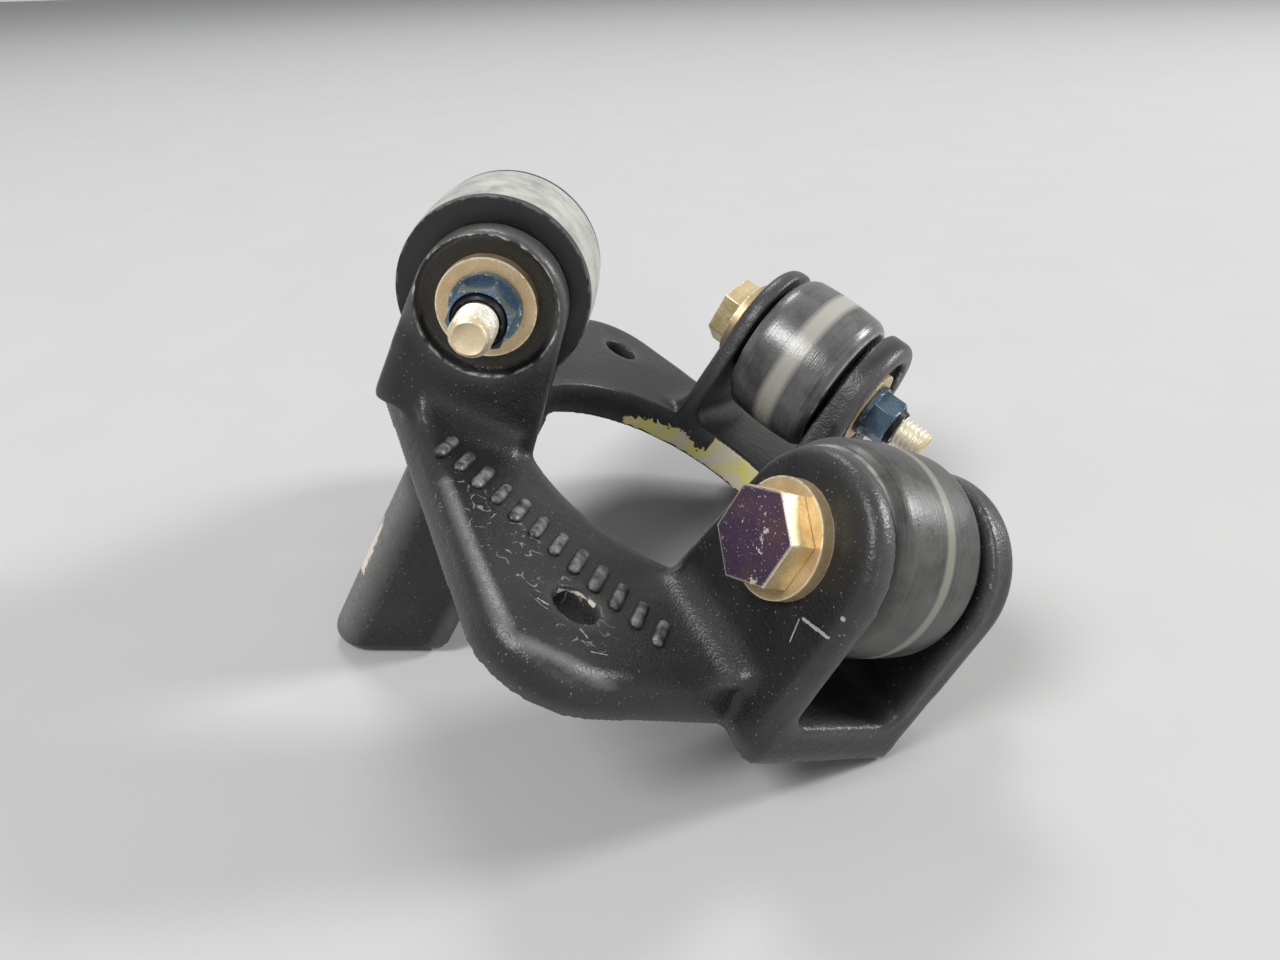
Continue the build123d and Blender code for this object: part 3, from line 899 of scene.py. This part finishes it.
def makeRoller(name):
    c = rollerSizes
    half, flat = c["half"], c["half"] - c["round"]

    def tread(z):
        return c["radius"] - c["crown"] * (z / half) ** 2

    sunk, steps = half - c["relief"], c["roundSteps"]
    profile = [(c["bore"], sunk), (c["reliefRadius"], sunk), (c["reliefRadius"], half)]
    for step in range(steps + 1):
        angle = math.pi / 2 * (1 - step / steps)
        radius = tread(flat) - c["round"] * (1 - math.cos(angle))
        profile.append((radius, flat + c["round"] * math.sin(angle)))
    for step in range(1, c["crownSteps"]):
        z = flat * (1 - step / c["crownSteps"])
        profile.append((tread(z), z))
    profile += [(radius, -z) for radius, z in [(tread(0), 0)] + profile[::-1]]
    shell = ringShell(profile, c["around"], closed=True)
    mesh = meshFrom(f"crownedRoller_{name}", [shell], boltFrame(name), [rollerFinish[name]])
    roller = newObject(f"crownedRoller_{name}", mesh)
    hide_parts(f"roller_{name}")
    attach(roller, f"roller_body_{name}")


# Self-locking nuts

nutSizes = {
    "seat": 0.0118, "bore": 0.0024, "flangeRadius": 0.0042, "flangeHeight": 0.0009, "flats": 0.0066,
    "hexHeight": 0.0036, "collarHeight": 0.0009, "collarRadius": 0.0030, "collarTop": 0.0027,
    # the flange's lower corner and taper, the slope of the hexagon's corners, the collar's seat and lip
    "cornerIn": 0.0002, "cornerUp": 0.0003, "taper": 0.0001, "slope": math.tan(math.radians(30)),
    "crownShare": 0.97, "collarSunk": 0.0001, "lip": 0.0002, "around": 96,
}


def makeNut(name):
    c = nutSizes
    seat, bore, flange, half = c["seat"], c["bore"], c["flangeRadius"], c["flats"] / 2
    shelf = seat + c["flangeHeight"]
    crown = shelf + c["hexHeight"]
    top = crown + c["collarHeight"]

    def side(angle):
        radius = hexRadius(angle, c["flats"])
        return radius, crown - (radius - half) * c["slope"]

    shell = ringShell([
        (bore, seat), (flange - c["cornerIn"], seat), (flange, seat + c["cornerUp"]),
        (flange - c["taper"], shelf), lambda a: (hexRadius(a, c["flats"]), shelf), side,
        (half * c["crownShare"], crown),
        (c["collarRadius"], crown - c["collarSunk"]), (c["collarTop"], top), (bore, top - c["lip"])],
        c["around"], closed=True, slots=[0] * 6 + [1] * 4)
    mesh = meshFrom(f"lockingNut_{name}", [shell], boltFrame(name),
                    [finishes["bluePlating"], finishes["collarPlating"]])
    nut = newObject(f"lockingNut_{name}", mesh)
    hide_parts(f"locknut_{name}")
    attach(nut, "collar")


for name in stations:
    makeBolt(name)
    makeNut(name)
for name in ("b", "c"):
    makeRoller(name)
print("bolts, nuts and rollers made")


# Plain raised bars cast on the web

castBars = {
    "first": (-0.0283, -0.0181, 0.0052), "last": (-0.0004, -0.0350, 0.0052), "count": 12,
    "length": 0.0051, "width": 0.0016, "proud": 0.00060, "slant": math.radians(20.0), "seed": 4,
    # how much the bars differ in size, and the ball they are stretched from
    "smallest": 0.90, "largest": 1.05, "segments": 24, "rings": 12,
}


def makeBarTree():
    tree, given, result = newTree("castBars", {
        "Vector": ("first", "last", "turn"), "Int": ("count", "seed", "segments", "rings"),
        "Float": ("length", "width", "proud", "smallest", "largest"), "Material": ("material",)})
    line = addNode(tree, "GeometryNodeMeshLine", mode="END_POINTS")
    feedAll(tree, line, {"Count": given["count"], "Start Location": given["first"], "Offset": given["last"]})
    ball = addNode(tree, "GeometryNodeMeshUVSphere")
    feedAll(tree, ball, {"Segments": given["segments"], "Rings": given["rings"], "Radius": 1.0})
    spot = partsOf(tree, addNode(tree, "GeometryNodeInputPosition").outputs[0])
    half = times(tree, given["width"], 0.5)
    stretch = minus(tree, times(tree, given["length"], 0.5), half)
    ends = times(tree, mathNode(tree, "SIGN", spot["Y"]), stretch)
    x = times(tree, spot["X"], half)
    y = plus(tree, times(tree, spot["Y"], half), ends)
    bar = moveTo(tree, ball.outputs["Mesh"], x, y, times(tree, spot["Z"], given["proud"]))
    vary = addNode(tree, "FunctionNodeRandomValue", data_type="FLOAT")
    feedAll(tree, vary, {2: given["smallest"], 3: given["largest"], "Seed": given["seed"]})
    spread = addNode(tree, "GeometryNodeInstanceOnPoints")
    feedAll(tree, spread, {"Points": line.outputs["Mesh"], "Instance": bar, "Rotation": given["turn"],
                           "Scale": vary.outputs[1]})
    endTree(tree, spread.outputs[0], given["material"], result)
    return tree


def makeCastBars():
    c = castBars
    run = Vector(c["last"]) - Vector(c["first"])
    turn = math.atan2(run.y, run.x) + c["slant"]
    mesh = growMesh(makeBarTree(), "castBars", {**c, "turn": (0, 0, turn), "material": rubbedPaint})
    tidyMesh(mesh)
    bars = newObject("castBars", mesh)
    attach(bars, "collar")


makeCastBars()
print("cast bars made")


# Floor, light and camera

floorPlace = {
    "edge": (0.0321, 0, 0), "foot": (-0.0318, 0, -0.0350), "half": 2.5,
    "tone": (0.54, 0.54, 0.54), "paler": (0.555, 0.555, 0.55), "roughness": 0.9,
    "cloud": {"scale": 40.0, "detail": 4.0, "fromLow": 0.3, "fromHigh": 0.7},
}


def makeFloor():
    # a tilted plane through the fork corners and the leg's foot, seen from above only
    c = floorPlace
    edge, foot = Vector(c["edge"]), Vector(c["foot"])
    along = (edge - foot).normalized()
    across = Vector((0, 1, 0))
    signs = ((-1, -1), (1, -1), (1, 1), (-1, 1))
    corners = [edge + along * a * c["half"] + across * b * c["half"] for a, b in signs]
    mesh = bpy.data.meshes.new("floor")
    mesh.from_pydata(corners, [], [(0, 1, 2, 3)])
    floor = newObject("floor", mesh)
    material, tree, shader, place = startMaterial("floorPaper")
    cloud = patchy(tree, place, **c["cloud"])
    colour = mixColour(tree, cloud, c["tone"], c["paler"])
    feedAll(tree, shader, {"Base Color": colour, "Roughness": c["roughness"]})
    clear = addNode(tree, "ShaderNodeBsdfTransparent")
    side = addNode(tree, "ShaderNodeNewGeometry").outputs["Backfacing"]
    mixed = addNode(tree, "ShaderNodeMixShader")
    feedAll(tree, mixed, {0: side, 1: shader.outputs[0], 2: clear.outputs[0]})
    feed(tree, mixed.outputs[0], tree.nodes["Material Output"].inputs["Surface"])
    mesh.materials.append(material)


lamps = {
    # place, diameter and watts
    "keyLamp": ((0.95, 0.30, 1.35), 0.35, 19.0),
    "backLamp": ((-0.80, 0.95, 1.10), 0.5, 8.0),
    "leftLamp": ((-1.10, -0.75, 0.70), 0.60, 14.0),
    "frontLamp": ((0.30, -1.30, 0.55), 0.5, 1.8),
}


def makeLamps():
    for name, (place, size, power) in lamps.items():
        data = bpy.data.lights.new(name, "AREA")
        data.shape = "DISK"
        data.size = size
        data.energy = power
        lamp = newObject(name, data)
        lamp.location = place
        lamp.rotation_euler = (-Vector(place)).to_track_quat("-Z", "Y").to_euler()


cameraFit = {
    "place": (-0.02776, -0.11937, 0.06227),
    "right": (0.88868, 0.04516, 0.45629),
    "down": (0.42172, -0.47113, -0.77472),
    "forward": (0.17999, 0.88090, -0.43773),
    "lens": 28.30, "sensor": 36.0, "nearest": 0.001,
}


def makeCamera():
    data = bpy.data.cameras.new("camera")
    data.lens = cameraFit["lens"]
    data.sensor_width = cameraFit["sensor"]
    data.clip_start = cameraFit["nearest"]
    camera = newObject("camera", data)
    right, down, forward = (Vector(cameraFit[way]) for way in ("right", "down", "forward"))
    turn = Matrix((right, -down, -forward)).transposed()
    camera.matrix_world = Matrix.Translation(cameraFit["place"]) @ turn.to_4x4()
    bpy.context.scene.camera = camera


room = {"tone": (0.98, 0.99, 1.0), "asLight": 0.30, "seen": 0.55}


def makeWorld():
    # a pale room: the same tone to the camera and in reflections, weaker as light
    world = bpy.data.worlds.new("softRoom")
    bpy.context.scene.world = world
    world.use_nodes = True
    tree = world.node_tree
    back = tree.nodes["Background"]
    path = addNode(tree, "ShaderNodeLightPath")
    seen = mathNode(tree, "MAXIMUM", path.outputs["Is Camera Ray"], path.outputs["Is Glossy Ray"])
    feed(tree, room["tone"], back.inputs["Color"])
    feed(tree, rampBetween(tree, seen, room["asLight"], room["seen"]), back.inputs["Strength"])


makeFloor()
makeCamera()
makeWorld()
makeLamps()
bpy.context.scene.view_settings.view_transform = "Standard"
print("floor, light and camera made")
